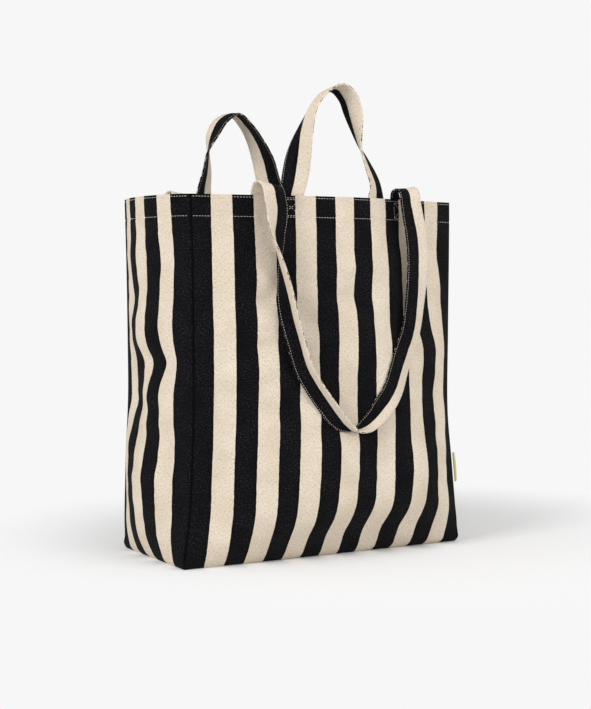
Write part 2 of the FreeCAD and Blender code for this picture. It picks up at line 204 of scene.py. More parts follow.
def shell(name, outer, inner, cloth, materials):
    """A closed sheet from two facing grids: material 0 outside, 1 inside and 2 round the edges."""
    rows, columns = outer.shape[:2]
    count = rows * columns
    index = np.arange(count).reshape(rows, columns)
    quads = np.stack([index[:-1, :-1], index[:-1, 1:], index[1:, 1:], index[1:, :-1]], -1).reshape(-1, 4)
    edge = np.concatenate([index[0, :-1], index[:-1, -1], index[-1, :0:-1], index[:0:-1, 0]])
    after = np.roll(edge, -1)
    rim = np.stack([edge, edge + count, after + count, after], -1)
    faces = [tuple(f) for f in np.concatenate([quads, quads[:, ::-1] + count, rim]).tolist()]
    face_materials = [0] * len(quads) + [1] * len(quads) + [2] * len(rim)
    points = np.concatenate([outer.reshape(-1, 3), inner.reshape(-1, 3)])
    uv = np.concatenate([cloth.reshape(-1, 2)] * 2)
    return mesh_object(name, points, faces, uv, materials, face_materials)


def place(piece, body, slot_name, *nodes):
    """The piece rides on its body and stands for its CAD nodes; slot_name is not used."""
    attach(piece, body)
    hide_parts(*nodes)
    return piece


# ---------------------------------------------------------------- materials
class Recipe:
    """A small helper that adds shader nodes and joins them up."""

    def __init__(self, name):
        self.material = bpy.data.materials.new(name)
        self.material.use_nodes = True
        self.tree = self.material.node_tree
        self.shader = self.tree.nodes["Principled BSDF"]

    def add(self, kind, settings=None, **inputs):
        """A new node; i0, i1 and so on are its inputs by number, other names are its inputs by name."""
        node = self.tree.nodes.new(kind)
        for key, value in (settings or {}).items():
            setattr(node, key, value)
        for key, value in inputs.items():
            name = int(key[1:]) if key[0] == "i" and key[1:].isdigit() else key.replace("_", " ")
            self.join(value, node.inputs[name])
        return node

    def join(self, value, socket):
        """A link from another node, or a plain value."""
        if isinstance(value, bpy.types.NodeSocket):
            self.tree.links.new(value, socket)
        else:
            socket.default_value = value

    def maths(self, operation, a, b=0.0, c=0.0):
        return self.add("ShaderNodeMath", {"operation": operation}, i0=a, i1=b, i2=c).outputs[0]

    def mix(self, share, a, b):
        node = self.add("ShaderNodeMix", {"data_type": "RGBA"})
        self.join(share, node.inputs[0])
        self.join(a, node.inputs[6])
        self.join(b, node.inputs[7])
        return node.outputs[2]

    def noise(self, where, scale, detail=2.0, roughness=0.5):
        made = self.add("ShaderNodeTexNoise", Scale=scale, Detail=detail, Roughness=roughness)
        self.tree.links.new(where, made.inputs["Vector"])
        return made.outputs["Fac"]

    def ramp(self, value, low, high):
        """0 below low, 1 above high, smooth between."""
        node = self.add("ShaderNodeMapRange", {"interpolation_type": "SMOOTHSTEP"})
        for socket, given in zip((0, 1, 2), (value, low, high)):
            self.join(given, node.inputs[socket])
        return node.outputs[0]

    def stain(self, base, colour, value, low, high, strength):
        """The base colour, stained where the value rises from low to high."""
        return self.mix(self.maths("MULTIPLY", self.ramp(value, low, high), strength), base, colour)


CREAM = (0.72, 0.62, 0.50, 1)
CREAM_DEEP = (0.50, 0.40, 0.29, 1)
CREAM_PALE = (0.80, 0.71, 0.595, 1)
FLECK = (0.30, 0.20, 0.11, 1)
BLACK = (0.0022, 0.0020, 0.0028, 1)
BLACK_WORN = (0.036, 0.035, 0.039, 1)
# Painted shade laid along the seam edges, standing in for the shade in the seam grooves.
PAINTED_SEAM_SHADE = (0.0004, 0.0004, 0.0004, 1)
THREAD_COLOUR = (0.66, 0.62, 0.55, 1)
THREAD_SHADED = (0.62, 0.57, 0.48, 1)
TAG_GREEN = (0.42, 0.43, 0.10, 1)
TAG_GREEN_WORN = (0.52, 0.52, 0.17, 1)

# Textures in metres, and how fine each noise is, per metre.
WEAVE_PITCH = 0.00085
WEAVE_RELIEF = 0.00032
STRIPE_BLUR = 0.00018
STRIPE_WANDER, STRIPE_FRAY = 0.0009, 0.0005
# Where the painted seam shade starts to lighten and where it ends, measured in from each seam edge.
SEAM_SHADE_FROM, SEAM_SHADE_TO = 0.0013, 0.0026
TAG_HALVES = (0.0062, 0.0066)
YARN_GRAIN, CLOUD_GRAIN, FLECK_GRAIN = 420, 24, 640
LINT_GRAIN, WEAR_GRAIN, SLUB_GRAIN = 620, 30, 260
WANDER_GRAIN, FRAY_GRAIN = 150, 1500


def cloth_parts(recipe):
    """The cloth places as a vector, with the place across and the place along."""
    place_node = recipe.add("ShaderNodeUVMap", {"uv_map": "cloth"})
    split = recipe.add("ShaderNodeSeparateXYZ", Vector=place_node.outputs[0])
    return place_node.outputs[0], split.outputs[0], split.outputs[1]


def weave_height(recipe, across, along):
    """The over-and-under of the threads, from 0 to 1."""
    turn = 2 * math.pi / WEAVE_PITCH
    wave_a = recipe.maths("SINE", recipe.maths("MULTIPLY", across, turn))
    wave_b = recipe.maths("SINE", recipe.maths("MULTIPLY", along, turn))
    return recipe.maths("MULTIPLY_ADD", recipe.maths("MULTIPLY", wave_a, wave_b), 0.5, 0.5)


def natural_colour(recipe, where, across, along):
    """Undyed cotton: uneven yarns, faint stains and dark seed flecks."""
    stretched = recipe.add("ShaderNodeCombineXYZ", X=recipe.maths("MULTIPLY", across, 3.0), Y=along)
    yarn = recipe.noise(stretched.outputs[0], YARN_GRAIN)
    stretched_up = recipe.add("ShaderNodeCombineXYZ", X=across, Y=recipe.maths("MULTIPLY", along, 3.0))
    yarn_up = recipe.noise(stretched_up.outputs[0], YARN_GRAIN)
    cloud = recipe.noise(where, CLOUD_GRAIN, 3.0)
    flecks = recipe.noise(where, FLECK_GRAIN, 1.0, 0.4)
    base = recipe.mix(recipe.ramp(cloud, 0.30, 0.72), CREAM, CREAM_PALE)
    base = recipe.stain(base, CREAM_DEEP, yarn, 0.46, 0.72, 0.85)
    base = recipe.stain(base, CREAM_DEEP, yarn_up, 0.48, 0.74, 0.70)
    return recipe.stain(base, FLECK, flecks, 0.715, 0.76, 0.7)


def dyed_colour(recipe, where):
    """Black yarn with grey lint and slight wear."""
    grain = recipe.noise(where, LINT_GRAIN, 3.0, 0.75)
    wear = recipe.noise(where, WEAR_GRAIN, 3.0)
    share = recipe.maths("MULTIPLY", recipe.ramp(grain, 0.50, 0.66), recipe.ramp(wear, 0.10, 0.75))
    return recipe.mix(share, BLACK, BLACK_WORN)


def finish_cloth(recipe, colour, where, across, along, rough=0.92):
    """Colour, roughness, the weave's relief and a little fuzz."""
    weave = weave_height(recipe, across, along)
    slub = recipe.noise(where, SLUB_GRAIN)
    relief = recipe.maths("MULTIPLY_ADD", slub, 0.9, weave)
    bump = recipe.add("ShaderNodeBump", Height=relief, Strength=0.75, Distance=WEAVE_RELIEF)
    recipe.join(colour, recipe.shader.inputs["Base Color"])
    recipe.join(bump.outputs[0], recipe.shader.inputs["Normal"])
    recipe.shader.inputs["Roughness"].default_value = rough
    recipe.shader.inputs["Specular IOR Level"].default_value = 0.07
    recipe.shader.inputs["Sheen Weight"].default_value = 0.01
    recipe.shader.inputs["Sheen Roughness"].default_value = 0.5
    return recipe.material


def two_colour_cloth(name, period, fade=0.0, seam_shade_width=None):
    """Cloth half black and half natural over each period; fade pales the black. Given a seam width,
    painted shade darkens the cloth near both edges, standing in for the shade in the seam grooves."""
    recipe = Recipe(name)
    where, across, along = cloth_parts(recipe)
    drift = recipe.noise(where, WANDER_GRAIN)
    fray = recipe.noise(where, FRAY_GRAIN, 1.0)
    moved = across
    for noise_value, reach in ((drift, STRIPE_WANDER), (fray, STRIPE_FRAY)):
        moved = recipe.maths("ADD", moved, recipe.maths("MULTIPLY_ADD", noise_value, reach, -reach / 2))
    phase = recipe.maths("FRACT", recipe.maths("DIVIDE", moved, period * MM))
    blur = STRIPE_BLUR / (period * MM)
    rise = recipe.ramp(phase, 0.5 - blur, 0.5 + blur)
    natural = natural_colour(recipe, where, across, along)
    dyed = dyed_colour(recipe, where)
    if fade:
        dyed = recipe.mix(fade, dyed, natural)
    colour = recipe.mix(rise, dyed, natural)
    # Painted shade: near-black within a few millimetres of both seam edges, standing in for the shade in the
    # seam grooves.
    if seam_shade_width:
        edge_gap = recipe.maths("MINIMUM", across, recipe.maths("SUBTRACT", seam_shade_width * MM, across))
        colour = recipe.mix(recipe.ramp(edge_gap, SEAM_SHADE_FROM, SEAM_SHADE_TO), PAINTED_SEAM_SHADE, colour)
    return finish_cloth(recipe, colour, where, across, along)


def tag_cloth():
    """A woven tape, green down one side and natural down the other."""
    recipe = Recipe("tag_tape")
    where, across, along = cloth_parts(recipe)
    side = recipe.ramp(across, *TAG_HALVES)
    green = recipe.mix(recipe.noise(where, 700), TAG_GREEN, TAG_GREEN_WORN)
    colour = recipe.mix(side, green, natural_colour(recipe, where, across, along))
    return finish_cloth(recipe, colour, where, across, along, 0.8)


def thread_material():
    """Twisted cotton thread."""
    recipe = Recipe("sewing_thread")
    spot = recipe.add("ShaderNodeTexCoord").outputs["Object"]
    shade = recipe.noise(spot, 1400)
    colour = recipe.mix(recipe.ramp(shade, 0.3, 0.75), THREAD_COLOUR, THREAD_SHADED)
    recipe.join(colour, recipe.shader.inputs["Base Color"])
    bump = recipe.add("ShaderNodeBump", Height=recipe.noise(spot, 2600, 1.0), Strength=0.5, Distance=0.0001)
    recipe.join(bump.outputs[0], recipe.shader.inputs["Normal"])
    recipe.shader.inputs["Roughness"].default_value = 0.7
    return recipe.material


STRIPED = two_colour_cloth("striped_canvas_face", 2 * STRIPE)
# The wall and side-wall faces carry painted shade along their seam edges.
WALL_FACE = two_colour_cloth("wall_canvas_face", 2 * STRIPE, seam_shade_width=WALL_CLOTH)
GUSSET_FACE = two_colour_cloth("gusset_canvas_face", 2 * STRIPE, seam_shade_width=GUSSET_CLOTH)
STRIPED_INSIDE = two_colour_cloth("striped_canvas_inside", 2 * STRIPE, fade=0.10)
STRAP = two_colour_cloth("strap_canvas_face", STRAP_WIDTH)
THREAD = thread_material()
TAG = tag_cloth()

# ---------------------------------------------------------------- the bag's shape, in millimetres
# The plan of the front left and front right corners at several heights: x, and y for the right one.
LEFT_CORNER_HEIGHTS = [0, 30, 60, 100, 160, 250, 330, 410]
LEFT_CORNER_X = [-187.5, -184, -180, -178, -175.5, -175, -176, -178]
RIGHT_CORNER_HEIGHTS = [0, 30, 50, 100, 150, 250, 350, 410]
RIGHT_CORNER_X = [188, 181, 177.5, 177, 178, 178, 179, 181]
RIGHT_CORNER_Y = [-83.5, -92, -93, -86, -77, -76, -76, -73]
CORNER_Y = 83.5
# The back corners draw in at the foot, and the lowest edge turns under.
BACK_FOOT_DRAW, FOOT_DRAW_HEIGHT = 6.0, 70
FOOT_TURN, FOOT_TURN_HEIGHT = 3.2, 8.0

# How far the front wall stands out from the line between its corners.
WALL_STATIONS = [0, 0.08, 0.2, 0.35, 0.5, 0.65, 0.8, 0.92, 1]
WALL_HEIGHTS = [0, 10, 28, 50, 90, 160, 250, 330, 410]
WALL_BULGE = [
    [0, 0, 0, 0, 0, 0, 0, 0, 0],
    [0, 5, 7, 7, 5, 5, 6, 4, 0],
    [0, 10, 17, 18, 14, 14, 15, 10, 0],
    [0, 7, 25, 31, 32, 32, 30, 17, 0],
    [0, 4, 27, 38, 44, 42, 38, 20, 0],
    [0, 5, 28, 38, 42, 44, 37, 21, 0],
    [0, 7, 24, 30, 41, 40, 31, 20, 0],
    [0, 5, 20, 27, 38, 35, 20, 8, 0],
    [0, 5, 16, 27, 35, 31, 17, 6, 0],
]

# The same for a gusset, from its front corner to its back corner.
GUSSET_STATIONS = [0, 0.12, 0.27, 0.42, 0.57, 0.75, 0.9, 1]
GUSSET_HEIGHTS = [0, 20, 50, 120, 190, 250, 330, 410]
GUSSET_BULGE = [
    [0, 0, 0, 0, 0, 0, 0, 0],
    [0, 4, 8, 11, 11, 8, 4, 0],
    [0, 7, 16, 20, 19, 14, 6, 0],
    [0, 9, 18, 24, 24, 17, 8, 0],
    [0, 9, 15, 18, 12, 10, 5, 0],
    [0, 11, 15, 19, 19, 14, 6, 0],
    [0, 10, 15, 20, 19, 13, 6, 0],
    [0, 12, 17, 21, 20, 14, 6, 0],
]
# The back wall and the right gusset stand out less.
BACK_SHARE, RIGHT_GUSSET_SHARE = 0.94, 0.66
RIPPLE_HEIGHT = 2.4

# Single dents (below 0) and swells: place across and up, half width, half height, depth.
FRONT_DENTS = [
    (302, 345, 20, 22, 3.6),
    (312, 292, 20, 24, -2.4),
    (300, 232, 22, 22, 2.0),
    (318, 172, 22, 22, -3.6),
    (338, 366, 13, 20, -3.2),
    (345, 318, 14, 20, 2.9),
    (336, 268, 14, 20, -2.2),
    (205, 300, 26, 16, -2.0),
    (150, 250, 30, 14, 2.0),
    (84, 318, 14, 9, 3.4),
    (86, 294, 15, 8, -4.8),
    (90, 270, 17, 8, 4.0),
    (84, 244, 15, 8, -4.6),
    (82, 214, 18, 10, 3.4),
    (86, 170, 20, 12, -3.2),
    (36, 330, 14, 12, -2.8),
    (34, 262, 16, 9, 2.8),
    (40, 226, 16, 9, -3.2),
    (134, 300, 16, 9, 2.6),
    (140, 270, 16, 9, -3.0),
    (190, 330, 16, 10, 2.4),
    (186, 296, 16, 9, -2.8),
    (32, 130, 20, 14, 1.8),
    (130, 180, 22, 11, -2.2),
    (180, 130, 24, 14, 2.2),
    (240, 110, 24, 16, -2.0),
]
BACK_DENTS = [(90, 290, 30, 26, -2.6), (250, 210, 34, 24, 2.4), (300, 320, 26, 24, -2.2)]
LEFT_DENTS = [
    (60, 262, 60, 20, 2.6),
    (62, 225, 55, 13, -5.2),
    (66, 190, 55, 14, 3.6),
    (60, 140, 50, 15, -2.4),
    (62, 90, 50, 16, 2.0),
    (130, 300, 30, 24, -2.4),
    (125, 180, 30, 22, -3.0),
]
RIGHT_DENTS = [(60, 240, 45, 22, -3.0), (110, 160, 45, 24, 2.6), (90, 320, 40, 26, -2.0)]

# Small forms that follow the seams and the hem: depth or height, and how wide they spread.
SEAM_GROOVE, SEAM_GROOVE_WIDTH = 2.6, 2.8
LOW_ROW_DIP, LOW_ROW_DIP_WIDTH = 0.55, 1.3
TOP_ROW_DIP, TOP_ROW_DIP_WIDTH = 0.35, 1.0
PUCKER, PUCKER_WIDTH = 0.28, 7
PUCKER_LENGTH, PUCKER_WANDER, PUCKER_WANDER_LENGTH = 1.9, 2.2, 17
# Where the creases and dents fade in from the seams and the foot, and how much they fade at the hem.
CALM_EDGE, CALM_FOOT = (4, 40), (8, 60)
CALM_HEM, CALM_HEM_SHARE = (360, 395), 0.65
# The small forms fade in over these heights.
FORMS_FROM = (3, 20)
WALL_SEED, GUSSET_SEED, BASE_SEED = 11.0, 31.0, 77.0


def foot_turn(z):
    """How far the lowest edge turns under, all the way round."""
    return FOOT_TURN * np.clip(1 - z / FOOT_TURN_HEIGHT, 0, 1) ** 2


def left_corner(z, side):
    """x and y of the front or back left corner at the heights z."""
    x = curve_through(LEFT_CORNER_HEIGHTS, LEFT_CORNER_X, z)
    if side == BACK:
        x = x + BACK_FOOT_DRAW * (1 - smooth_step(0, FOOT_DRAW_HEIGHT, z))
    return x + foot_turn(z), side * (np.full_like(x, CORNER_Y) - foot_turn(z))


def right_corner(z, side):
    """x and y of the front or back right corner at the heights z."""
    x = curve_through(RIGHT_CORNER_HEIGHTS, RIGHT_CORNER_X, z)
    y = -curve_through(RIGHT_CORNER_HEIGHTS, RIGHT_CORNER_Y, z)
    if side == BACK:
        x = x - BACK_FOOT_DRAW * (1 - smooth_step(0, FOOT_DRAW_HEIGHT, z))
        y = np.full_like(x, CORNER_Y)
    return x - foot_turn(z), side * (y - foot_turn(z))


def evenly_spread(rows_of_points, columns):
    """Each row of points read again at equal steps of its own length."""
    made = []
    for row in rows_of_points:
        run = distance_along(row)
        steps = np.linspace(0, run[-1], columns)
        made.append(spot_on(row, run, steps).T)
    return np.array(made)


def surface_details(u, z, width, seed, dents):
    """Creases, dents, the groove at the seams and the pucker along the hem's lower stitches."""
    calm = smooth_step(*CALM_EDGE, u) * smooth_step(*CALM_EDGE, width - u) * smooth_step(*CALM_FOOT, z)
    calm = calm * (1 - CALM_HEM_SHARE * smooth_step(*CALM_HEM, z))
    soft = RIPPLE_HEIGHT * np.array([[ripple(a, b, seed) for a in u[0]] for b in z[:, 0]])
    for across, up, half_width, half_height, depth in dents:
        soft = soft + depth * np.exp(-(((u - across) / half_width) ** 2) - ((z - up) / half_height) ** 2)
    seam = -SEAM_GROOVE * (bell(u, SEAM_GROOVE_WIDTH) + bell(width - u, SEAM_GROOVE_WIDTH))
    low_dip = LOW_ROW_DIP * bell(z - LOW_ROW, LOW_ROW_DIP_WIDTH)
    top_dip = TOP_ROW_DIP * bell(z - TOP_ROW, TOP_ROW_DIP_WIDTH)
    waves = np.sin(u / PUCKER_LENGTH + PUCKER_WANDER * np.sin(u / PUCKER_WANDER_LENGTH))
    pucker = PUCKER * waves * bell(z - LOW_ROW, PUCKER_WIDTH)
    return soft * calm + (seam - low_dip - top_dip + pucker) * smooth_step(*FORMS_FROM, z)


def row_heights():
    """The heights of a patch's rows."""
    return np.linspace(0, HEIGHT, int(HEIGHT / GRID_STEP) + 1)


def wall_patch(side):
    """The front or back wall's outer face."""
    z = row_heights()
    s = np.linspace(0, 1, FINE_STEPS)
    bulge = table_surface(WALL_HEIGHTS, WALL_STATIONS, WALL_BULGE, z, s)
    if side == BACK:
        bulge = bulge * BACK_SHARE
    (x0, y0), (x1, y1) = left_corner(z, side), right_corner(z, side)
    x = x0[:, None] + (x1 - x0)[:, None] * s
    y = y0[:, None] + (y1 - y0)[:, None] * s + side * bulge
    rows = np.stack([x, y, np.broadcast_to(z[:, None], x.shape)], -1)
    columns = int(WALL_CLOTH / GRID_STEP) + 1
    points = evenly_spread(rows, columns)
    u = np.broadcast_to(np.linspace(0, WALL_CLOTH, columns), points.shape[:2])
    dents = FRONT_DENTS if side == FRONT else BACK_DENTS
    details = surface_details(u, points[..., 2], WALL_CLOTH, WALL_SEED + side, dents)
    points = points + grid_normals(points) * (-side) * details[..., None]
    return Patch(points, grid_normals(points) * (-side), WALL_CLOTH, z)


def gusset_patch(side):
    """The left or right side wall's outer face, from its front corner to its back corner."""
    z = row_heights()
    s = np.linspace(0, 1, GUSSET_FINE_STEPS)
    bulge = table_surface(GUSSET_HEIGHTS, GUSSET_STATIONS, GUSSET_BULGE, z, s)
    corner = left_corner if side == LEFT else right_corner
    if side == RIGHT:
        bulge = bulge * RIGHT_GUSSET_SHARE
    (x0, y0), (x1, y1) = corner(z, FRONT), corner(z, BACK)
    x = x0[:, None] + (x1 - x0)[:, None] * s + side * bulge
    y = y0[:, None] + (y1 - y0)[:, None] * s
    rows = np.stack([x, y, np.broadcast_to(z[:, None], x.shape)], -1)
    columns = 2 * int(GUSSET_CLOTH / GRID_STEP / 2) + 3
    points = evenly_spread(rows, columns)
    u = np.broadcast_to(np.linspace(0, GUSSET_CLOTH, columns), points.shape[:2])
    dents = LEFT_DENTS if side == LEFT else RIGHT_DENTS
    details = surface_details(u, points[..., 2], GUSSET_CLOTH, GUSSET_SEED + side, dents)
    points[..., 0] += side * details
    return Patch(points, grid_normals(points) * side, GUSSET_CLOTH, z)


WALLS = {FRONT: wall_patch(FRONT), BACK: wall_patch(BACK)}
GUSSETS = {LEFT: gusset_patch(LEFT), RIGHT: gusset_patch(RIGHT)}


# ---------------------------------------------------------------- stitches
STITCH_SIDES = 6
STITCH_REST = 0.12
STITCH_FLATNESS = 1.3
# A stitch's rings along its length: share of the length, share of the width, height over its rest.
STITCH_RINGS = [(0.0, 0.35, -0.18), (0.2, 1.0, 0.12), (0.8, 1.0, 0.12), (1.0, 0.35, -0.18)]


def add_stitch(points, faces, a, b, normal, width):
    """One raised stitch from a to b, its ends dipping into the cloth."""
    along = (b - a) / max(np.linalg.norm(b - a), 1e-9)
    sideways = np.cross(along, normal)
    first = len(points)
    for share, size, lift in STITCH_RINGS:
        centre = a + (b - a) * share + normal * (lift + STITCH_REST)
        for k in range(STITCH_SIDES):
            angle = 2 * math.pi * k / STITCH_SIDES
            ring = sideways * math.cos(angle) + normal * math.sin(angle) / STITCH_FLATNESS
            points.append(centre + ring * size * width / 2)
    for r in range(len(STITCH_RINGS) - 1):
        for k in range(STITCH_SIDES):
            here, after = first + r * STITCH_SIDES, first + (r + 1) * STITCH_SIDES
            turn = (k + 1) % STITCH_SIDES
            faces.append((here + k, here + turn, after + turn, after + k))
    last = first + (len(STITCH_RINGS) - 1) * STITCH_SIDES
    faces.append(tuple(first + k for k in reversed(range(STITCH_SIDES))))
    faces.append(tuple(last + k for k in range(STITCH_SIDES)))


def dashes(name, runs, width=0.46, length=2.2, pitch=3.4):
    """Raised thread stitches along each run, which is (points, normals) close together on the cloth."""
    points, faces = [], []
    for line, normals in runs:
        run = distance_along(line)
        count = max(1, int(run[-1] / pitch))
        for start in (np.arange(count) + 0.5) * run[-1] / count - length / 2:
            a, b = (spot_on(line, run, at) for at in (start, start + length))
            normal = spot_on(normals, run, start)
            add_stitch(points, faces, a, b, normal / np.linalg.norm(normal), width)
    return mesh_object(name, points, faces, np.zeros((len(points), 2)), [THREAD], [0] * len(faces))


def patch_run(patch, corners, lift=0.0, step=1.0):
    """A stitch run on a patch through the given (u, v) corners, cut into short steps."""
    line = []
    for (u0, v0), (u1, v1) in zip(corners[:-1], corners[1:]):
        count = max(2, int(math.hypot(u1 - u0, v1 - v0) / step))
        line += [(u0 + (u1 - u0) * t, v0 + (v1 - v0) * t) for t in np.linspace(0, 1, count)]
    u, v = np.array(line).T
    normals = patch.read(u, v, patch.normals)
    return patch.at(u, v, lift), normals * (1 if lift >= 0 else -1)


def hem_rows(patch, start, end):
    """The two rows of stitches along a hem, outside and inside."""
    rows = []
    for height in (TOP_ROW, LOW_ROW):
        rows.append(patch_run(patch, [(start, height), (end, height)]))
        rows.append(patch_run(patch, [(start, height), (end, height)], lift=-HEM_INNER))
    return rows


# ---------------------------------------------------------------- walls, gussets, hems and base
EDGE_STEADY = 1.2
LAYER_GAP = 0.05
HEM_INSET = 3
HEM_TOP_GAP = 0.3
FOOT_GAP = 2
BOX_INSIDE_GAP = 0.2
BOX_LOW, BOX_HIGH = HEIGHT - 22.0, HEIGHT - 4.5
BOX_HALF = 12.6


def grid_of(patch, u_low, u_high, v_low, v_high, outer_lift, inner_lift, step=GRID_STEP):
    """Outer and inner grids over part of a patch, and their cloth places, kept off the cut edges."""
    u = np.linspace(u_low, u_high, max(3, int((u_high - u_low) / step) + 1))
    v = np.linspace(v_low, v_high, max(3, int((v_high - v_low) / step) + 1))
    uu, vv = np.meshgrid(u, v)
    inside = np.clip(uu, EDGE_STEADY, patch.columns[-1] - EDGE_STEADY)
    return patch.at(uu, vv, outer_lift), patch.at(uu, vv, inner_lift), np.stack([inside, vv], -1)


def hem_grids(patch, start, end):
    """The grids of the turned-in cloth inside the mouth."""
    low, high = HEIGHT - HEM_DEPTH, HEIGHT - HEM_TOP_GAP
    return grid_of(patch, start, end, low, high, -CANVAS - LAYER_GAP, -HEM_INNER)


def build_wall(side):
    """The front or back wall with its hem, stitches and corner seams."""
    name, body, patch = SIDE_NAME[side], WALL_BODY[side], WALLS[side]
    hem_start, hem_end = HEM_INSET, WALL_CLOTH - HEM_INSET
    outer, inner, cloth = grid_of(patch, 0, WALL_CLOTH, 0, HEIGHT, 0, -CANVAS)
    panel = shell(f"{name}_wall_cloth", outer, inner, cloth, [WALL_FACE, STRIPED_INSIDE, STRIPED])
    place(panel, body, "striped_canvas", f"{name}_panel")
    outer, inner, cloth = hem_grids(patch, hem_start, hem_end)
    hem = shell(f"{name}_hem_cloth", outer, inner, cloth, [STRIPED] * 3)
    place(hem, body, "hem_canvas", f"{name}_hem")
    rows = dashes(f"{name}_hem_stitches", hem_rows(patch, hem_start, hem_end))
    place(rows, body, "thread", f"{name}_hem_stitching")
    build_box_stitches(side)
    for hand in (LEFT, RIGHT):
        build_corner_seam(side, hand)


def cloth_place(patch, x, v):
    """How far across the cloth a place with this x lies, at height v."""
    row = int(np.argmin(np.abs(patch.heights - v)))
    return float(np.interp(x, patch.points[row, :, 0], patch.columns))


def build_box_stitches(side):
    """A stitched box with a cross where each strap and handle end is sewn to the hem."""
    patch, runs = WALLS[side], []
    inside = -(HEM_INNER + STRAP_THICK + BOX_INSIDE_GAP)
    for x in (STRAP_LEFT_X, HANDLE_LEFT_X, HANDLE_RIGHT_X, STRAP_RIGHT_X):
        middle = cloth_place(patch, x, HEIGHT)
        a, b = middle - BOX_HALF, middle + BOX_HALF
        outline = [(a, BOX_LOW), (a, BOX_HIGH), (b, BOX_HIGH), (b, BOX_LOW), (a, BOX_LOW)]
        for lift in (0.0, inside):
            runs.append(patch_run(patch, outline, lift))
            runs.append(patch_run(patch, [(a, BOX_LOW), (b, BOX_HIGH)], lift))
            runs.append(patch_run(patch, [(a, BOX_HIGH), (b, BOX_LOW)], lift))
    boxes = dashes(f"{SIDE_NAME[side]}_box_stitches", runs)
    place(boxes, WALL_BODY[side], "thread", f"{SIDE_NAME[side]}_box_stitching")


# A corner's seam allowance: distance in from the corner, direction, half thickness and wave.
ALLOWANCE_ROWS, ALLOWANCE_COLUMNS = 150, 6
ALLOWANCE_START = (4.6, 4.8)
ALLOWANCE_LEAN = (0.62, 0.78)
ALLOWANCE_HALF = 0.9
ALLOWANCE_WAVE, ALLOWANCE_WAVE_LENGTH = 0.8, 16.0


def build_corner_seam(side, hand):
    """The seam allowance standing inside a corner."""
    z = np.linspace(FOOT_GAP, HEIGHT - HEM_DEPTH - FOOT_GAP, ALLOWANCE_ROWS)
    corner = left_corner if hand == LEFT else right_corner
    x, y = corner(z, side)
    edge = np.stack([x - hand * ALLOWANCE_START[0], y - side * ALLOWANCE_START[1], z], 1)
    lean_x, lean_y = ALLOWANCE_LEAN
    inward = np.array([-hand * lean_x, -side * lean_y, 0.0]) * SEAM_ALLOWANCE
    facing = np.array([hand * lean_y, -side * lean_x, 0.0])
    wave = ALLOWANCE_WAVE * np.sin(z / ALLOWANCE_WAVE_LENGTH)[:, None] * facing
    across = np.linspace(0, 1, ALLOWANCE_COLUMNS)
    middle = edge[:, None, :] + inward * across[None, :, None] + wave[:, None, :] * across[None, :, None]
    thick = facing * ALLOWANCE_HALF
    cloth = np.stack(np.broadcast_arrays(across[None, :] * SEAM_ALLOWANCE + CANVAS, z[:, None]), -1)
    name = f"{SIDE_NAME[side]}_{HAND_NAME[hand]}_seam"
    strip = shell(f"{name}_allowance", middle + thick, middle - thick, cloth, [STRIPED] * 3)
    place(strip, WALL_BODY[side], "seam_canvas", name)
    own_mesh(strip)


def build_gusset_half(hand, side):
    """Half of a side wall, from a corner to the crease down its middle."""
    patch = GUSSETS[hand]
    body = f"{HAND_NAME[hand]}_{SIDE_NAME[side]}_gusset"
    node = f"{HAND_NAME[hand]}_gusset_{SIDE_NAME[side]}"
    start, end = (0, GUSSET_CLOTH / 2) if side == FRONT else (GUSSET_CLOTH / 2, GUSSET_CLOTH)
    outer, inner, cloth = grid_of(patch, start, end, 0, HEIGHT, 0, -CANVAS)
    half = shell(f"{node}_cloth", outer, inner, cloth, [GUSSET_FACE, STRIPED_INSIDE, STRIPED])
    place(half, body, "striped_canvas", node)
    hem_start = start + (HEM_INSET if side == FRONT else 0)
    hem_end = end - (0 if side == FRONT else HEM_INSET)
    outer, inner, cloth = hem_grids(patch, hem_start, hem_end)
    hem = shell(f"{node}_hem_cloth", outer, inner, cloth, [STRIPED] * 3)
    place(hem, body, "hem_canvas", f"{node}_hem")
    rows = dashes(f"{node}_stitches", hem_rows(patch, hem_start + 1, hem_end - 1))
    place(rows, body, "thread", f"{node}_stitching")
    for piece in (half, hem, rows):
        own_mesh(piece)


# The base is a little smaller than the foot of the walls.
BASE_COLUMNS, BASE_ROWS = 121, 61
BASE_SHARE = 0.992
BASE_DEPTH = 2 * CORNER_Y
BASE_LOWEST, BASE_RISE, BASE_STEADY = 0.15, 0.8, 25
BASE_SEAM_ROWS, BASE_SEAM_COLUMNS = 70, 5
BASE_SEAM_X, BASE_SEAM_HEIGHT, BASE_SEAM_HALF = 177.0, 1.9, 0.7
BASE_SEAM_Y = (-CORNER_Y + 9, CORNER_Y - 12)
BASE_SEAM_WAVE, BASE_SEAM_WAVE_LENGTH = 0.5, 13


